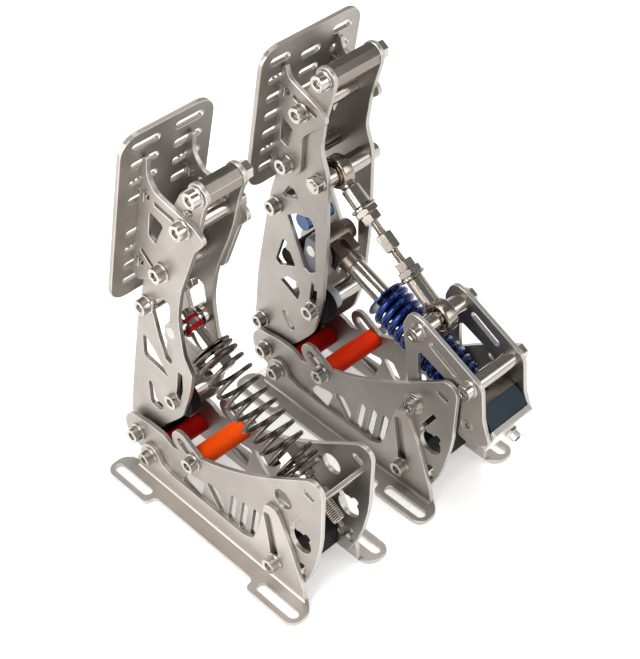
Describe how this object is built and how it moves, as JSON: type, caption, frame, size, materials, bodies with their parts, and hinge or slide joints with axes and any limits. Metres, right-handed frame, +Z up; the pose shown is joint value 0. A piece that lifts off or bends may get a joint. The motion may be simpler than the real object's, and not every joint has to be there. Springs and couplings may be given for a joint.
{
  "type": "sim racing pedal set",
  "caption": "Floor-standing throttle and brake pedals of cut sheet steel, with slotted face plates, coil-spring struts, a rocker linkage behind the brake and slotted feet.",
  "frame": {"origin": "middle of the whole set on X and Y, on the floor under the feet", "axes": "+X to the driver's right, +Y away from the driver, +Z up"},
  "size_m": [0.201, 0.2102, 0.2783],
  "materials": {
    "brushed_sheet_steel": "bead-blasted",
    "polished_steel": "polished",
    "dark_spring_steel": "oil-dark",
    "red_stop_sleeve": "satin",
    "orange_stop_sleeve": "satin",
    "black_plastic": "matte",
    "black_rubber": "matte",
    "grey_plastic": "satin",
    "blue_paint": "metallic gloss",
    "dark_blue_paint": "anodised satin"
  },
  "bodies": {
    "base": {"throttle_side_plate_right": "brushed_sheet_steel", "throttle_side_plate_left": "brushed_sheet_steel", "throttle_foot_right": "brushed_sheet_steel", "throttle_foot_left": "brushed_sheet_steel", "throttle_rest_stop_sleeve": "red_stop_sleeve", "throttle_travel_stop_sleeve": "orange_stop_sleeve", "throttle_pivot_shaft": "polished_steel", "throttle_base_bolts": "polished_steel", "throttle_sensor_box": "black_plastic", "throttle_seat_plate": "brushed_sheet_steel", "throttle_lower_perch": "polished_steel", "brake_side_plate_right": "brushed_sheet_steel", "brake_side_plate_left": "brushed_sheet_steel", "brake_foot_right": "brushed_sheet_steel", "brake_foot_left": "brushed_sheet_steel", "brake_rest_stop_sleeve": "red_stop_sleeve", "brake_travel_stop_sleeve": "orange_stop_sleeve", "brake_pivot_shaft": "polished_steel", "brake_base_bolts": "polished_steel", "brake_sensor_box": "black_plastic"},
    "throttle_arm": {"throttle_arm_plate_right": "brushed_sheet_steel", "throttle_arm_plate_left": "brushed_sheet_steel", "throttle_arm_hub": "black_plastic", "throttle_travel_bumper": "black_rubber", "throttle_arm_spacers": "polished_steel", "throttle_top_bar": "polished_steel", "throttle_arm_bolts": "polished_steel", "throttle_face_bracket_right": "brushed_sheet_steel", "throttle_face_bracket_left": "brushed_sheet_steel", "throttle_face_plate": "brushed_sheet_steel"},
    "throttle_strut": {"throttle_strut_head": "polished_steel", "throttle_strut_rings": "red_stop_sleeve", "throttle_strut_tube": "polished_steel", "throttle_upper_perch": "dark_spring_steel", "throttle_spring": "dark_spring_steel"},
    "brake_arm": {"brake_arm_plate_right": "brushed_sheet_steel", "brake_arm_plate_left": "brushed_sheet_steel", "brake_arm_hub": "black_plastic", "brake_travel_bumper": "black_rubber", "brake_arm_bushes": "grey_plastic", "brake_arm_spacers": "polished_steel", "brake_cross_tube": "blue_paint", "brake_top_bar": "polished_steel", "brake_arm_bolts": "polished_steel", "brake_face_bracket_right": "brushed_sheet_steel", "brake_face_bracket_left": "brushed_sheet_steel", "brake_face_plate": "brushed_sheet_steel"},
    "tie_rod": {"tie_rod_upper_end": "polished_steel", "tie_rod_adjuster": "polished_steel", "tie_rod_lower_end": "polished_steel"},
    "rocker": {"rocker_plate_right": "brushed_sheet_steel", "rocker_plate_left": "brushed_sheet_steel", "rocker_tubes": "polished_steel", "rocker_bolts": "polished_steel"},
    "brake_strut_upper": {"brake_strut_clevis": "brushed_sheet_steel", "brake_push_rod": "polished_steel"},
    "brake_strut_lower": {"brake_lower_seat": "polished_steel", "brake_spring_block": "dark_blue_paint", "brake_block_cover": "brushed_sheet_steel", "brake_spring": "blue_paint"}
  },
  "joints": [
    {"name": "throttle_pedal_hinge", "type": "hinge", "parent": "base", "child": "throttle_arm", "pos_m": [0.0585, -0.08978, 0.0316], "axis": [-1, 0, 0], "range_deg": [0, 19], "stiffness_Nm_per_rad": 14, "springref_deg": -11.46, "deforming": ["throttle_spring"]},
    {"name": "throttle_strut_swing", "type": "hinge", "parent": "throttle_arm", "child": "throttle_strut", "pos_m": [0.0585, -0.05678, 0.1343], "axis": [1, 0, 0], "range_deg": [0, 17.5]},
    {"name": "brake_pedal_hinge", "type": "hinge", "parent": "base", "child": "brake_arm", "pos_m": [-0.055, -0.08978, 0.0316], "axis": [-1, 0, 0], "range_deg": [0, 6], "stiffness_Nm_per_rad": 500, "springref_deg": -0.57, "deforming": ["brake_spring"]},
    {"name": "rocker_hinge", "type": "hinge", "parent": "base", "child": "rocker", "pos_m": [-0.055, 0.04322, 0.076], "axis": [-1, 0, 0], "range_deg": [0, 20.6]},
    {"name": "tie_rod_swing", "type": "hinge", "parent": "brake_arm", "child": "tie_rod", "pos_m": [-0.055, -0.04398, 0.1929], "axis": [1, 0, 0], "range_deg": [0, 8.8]},
    {"name": "brake_strut_upper_swing", "type": "hinge", "parent": "brake_arm", "child": "brake_strut_upper", "pos_m": [-0.055, -0.05478, 0.132], "axis": [1, 0, 0], "range_deg": [0, 0.9]},
    {"name": "brake_strut_lower_swing", "type": "hinge", "parent": "rocker", "child": "brake_strut_lower", "pos_m": [-0.055, 0.08092, 0.081], "axis": [1, 0, 0], "range_deg": [0, 15.5]}
  ],
  "couplings": [
    {"joint": "throttle_strut_swing", "follows": "throttle_pedal_hinge", "ratio": 0.9125},
    {"joint": "rocker_hinge", "follows": "brake_pedal_hinge", "ratio": 3.4207},
    {"joint": "tie_rod_swing", "follows": "brake_pedal_hinge", "ratio": 1.4452},
    {"joint": "brake_strut_upper_swing", "follows": "brake_pedal_hinge", "ratio": 0.1454},
    {"joint": "brake_strut_lower_swing", "follows": "brake_pedal_hinge", "ratio": 2.5661}
  ]
}
